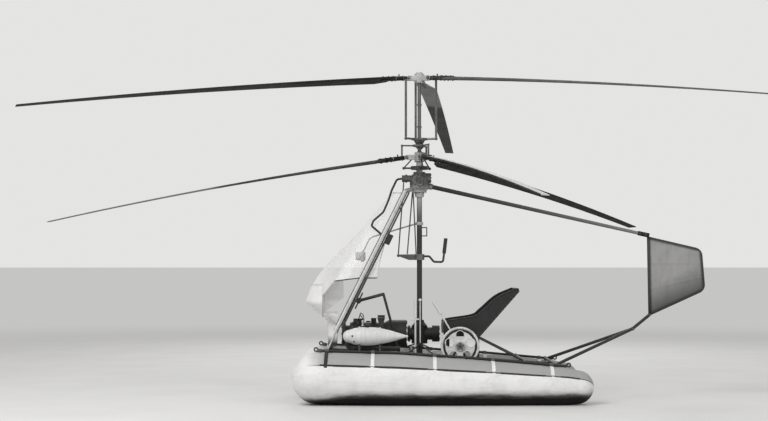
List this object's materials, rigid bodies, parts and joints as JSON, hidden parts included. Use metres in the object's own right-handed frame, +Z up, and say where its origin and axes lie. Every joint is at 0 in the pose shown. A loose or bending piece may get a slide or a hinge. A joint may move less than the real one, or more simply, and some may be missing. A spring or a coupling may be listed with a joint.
{
  "type": "light coaxial helicopter",
  "caption": "Open-frame single-seat helicopter: two contra-rotating rotors on one mast over a flat-twin engine, a bucket seat and a tail fin, standing on inflated floats.",
  "frame": {"origin": "on the floor under the middle of the whole craft's box; the mast stands 0.25 m aft of it", "axes": "+X aft, +Y to starboard, +Z up along the mast"},
  "size_m": [5.4031, 5.9741, 2.5],
  "materials": {
    "float_fabric": "rubber-proofed cotton, matt",
    "strap_webbing": "woven webbing",
    "frame_paint": "satin paint on steel tube",
    "white_paint": "satin white paint",
    "cast_case": "as cast",
    "dark_case": "dull black, oily",
    "cylinder_iron": "as cast",
    "tank_metal": "spun, dull",
    "clear_panel": "milky clear sheet",
    "seat_shell": "satin",
    "seat_leather": "worn",
    "fin_fabric": "doped fabric",
    "bright_steel": "machined",
    "blade_skin": "satin, two tones"
  },
  "bodies": {
    "airframe": {"float_left": "float_fabric", "float_right": "float_fabric", "float_harness_left": "strap_webbing", "float_harness_right": "strap_webbing", "rail_left": "frame_paint", "rail_right": "frame_paint", "cross_tubes": "frame_paint", "keel_tubes": "frame_paint", "front_strut_left": "white_paint", "front_strut_right": "white_paint", "mast": "frame_paint", "upper_gearbox": "cast_case", "lower_gearbox": "dark_case", "crankcase": "dark_case", "cylinder_left": "cylinder_iron", "cylinder_right": "cylinder_iron", "tank_left": "tank_metal", "tank_right": "tank_metal", "tank_posts": "frame_paint", "windscreen": "clear_panel", "nose_cap": "white_paint", "nose_apron": "white_paint", "seat_bucket": "seat_shell", "seat_cushion": "seat_leather", "seat_frame": "frame_paint", "wheel_bracket": "frame_paint", "tail_boom": "frame_paint", "fin": "fin_fabric", "tail_stays": "frame_paint", "control_platform": "bright_steel", "cyclic_stick": "frame_paint", "control_rods": "bright_steel", "junction_box": "dark_case", "engine_fittings": "cast_case", "rail_stays": "frame_paint", "hand_levers": "white_paint", "instrument_pod": "dark_case", "oil_pipe": "frame_paint", "pedals": "frame_paint"},
    "lower_rotor": {"lower_hub": "bright_steel", "lower_blade_1": "blade_skin", "lower_blade_2": "blade_skin", "lower_blade_3": "blade_skin", "swash_ring": "cast_case", "scissor_ring": "bright_steel"},
    "upper_rotor": {"upper_hub": "bright_steel", "upper_blade_1": "blade_skin", "upper_blade_2": "blade_skin", "upper_blade_3": "blade_skin", "rotor_shaft": "bright_steel", "pitch_star": "bright_steel", "pitch_rods": "bright_steel"},
    "wheel": {"hand_wheel": "white_paint"}
  },
  "joints": [
    {"name": "lower_rotor_spin", "type": "hinge", "parent": "airframe", "child": "lower_rotor", "pos_m": [0.25, 0, 1.847], "axis": [0, 0, 1], "continuous": true},
    {"name": "upper_rotor_spin", "type": "hinge", "parent": "airframe", "child": "upper_rotor", "pos_m": [0.25, 0, 2.451], "axis": [0, 0, 1], "continuous": true},
    {"name": "hand_wheel_spin", "type": "hinge", "parent": "airframe", "child": "wheel", "pos_m": [0.547, -0.245, 0.416], "axis": [0, 1, 0], "continuous": true}
  ],
  "couplings": [
    {"joint": "upper_rotor_spin", "follows": "lower_rotor_spin", "ratio": -1}
  ]
}
